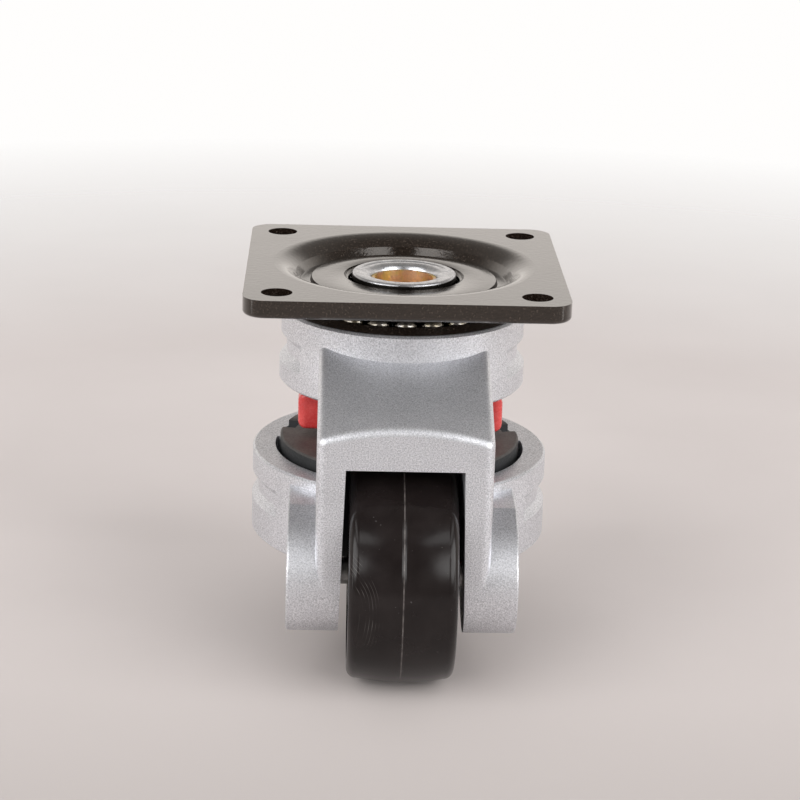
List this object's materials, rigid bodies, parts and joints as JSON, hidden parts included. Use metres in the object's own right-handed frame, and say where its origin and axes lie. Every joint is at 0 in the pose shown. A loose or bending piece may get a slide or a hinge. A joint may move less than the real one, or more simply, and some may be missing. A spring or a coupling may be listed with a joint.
{
  "type": "levelling castor",
  "caption": "Swivel castor with a square top plate, a ball race, a fork with a nylon wheel, and a levelling foot that a red hand wheel screws down past the wheel.",
  "frame": {"origin": "on the swivel axis, on the top plate's mounting face", "axes": "+Z along the swivel axis, out of the mounting face; +X along the axle; the wheel stands towards -Y"},
  "size_m": [0.073, 0.1005, 0.0868],
  "materials": {
    "plate_black": "gloss black paint",
    "zinc_steel": "turned, zinc plated",
    "yellow_zinc": "yellow passivated",
    "bearing_steel": "polished",
    "silver_paint": "silver metallic paint, satin",
    "wheel_nylon": "moulded, semi-gloss",
    "bush_metal": "turned",
    "red_plastic": "moulded, gloss",
    "foot_black": "moulded, matte",
    "sole_rubber": "matte"
  },
  "bodies": {
    "mount_plate": {"top_plate": "plate_black"},
    "body": {"body_casting": "silver_paint", "king_pin": "zinc_steel", "spindle_bush": "yellow_zinc", "pin_washer": "zinc_steel", "lower_race": "plate_black", "lower_balls": "bearing_steel", "upper_balls": "bearing_steel", "axle": "zinc_steel", "axle_washer": "zinc_steel", "axle_nut": "zinc_steel", "thrust_washer": "bush_metal"},
    "castor_wheel": {"wheel": "wheel_nylon", "wheel_bush_left": "bush_metal", "wheel_bush_right": "bush_metal"},
    "adjuster": {"spindle": "yellow_zinc", "adjuster_wheel": "red_plastic", "spindle_clip": "zinc_steel", "adjuster_clip": "zinc_steel"},
    "foot": {"foot_body": "foot_black", "thread_insert": "bush_metal", "foot_sole": "sole_rubber"}
  },
  "joints": [
    {"name": "swivel", "type": "hinge", "parent": "mount_plate", "child": "body", "pos_m": [0, 0, 0], "axis": [0, 0, 1], "continuous": true},
    {"name": "wheel_spin", "type": "hinge", "parent": "body", "child": "castor_wheel", "pos_m": [0, -0.039, -0.0618], "axis": [1, 0, 0], "continuous": true},
    {"name": "adjuster_turn", "type": "hinge", "parent": "body", "child": "adjuster", "pos_m": [0, 0, -0.035], "axis": [0, 0, 1], "range_deg": [0, 3240]},
    {"name": "foot_travel", "type": "slide", "parent": "body", "child": "foot", "axis": [0, 0, -1], "range_m": [0, 0.018]}
  ],
  "couplings": [
    {"joint": "foot_travel", "follows": "adjuster_turn", "m_per_rad": 0.00031831}
  ]
}
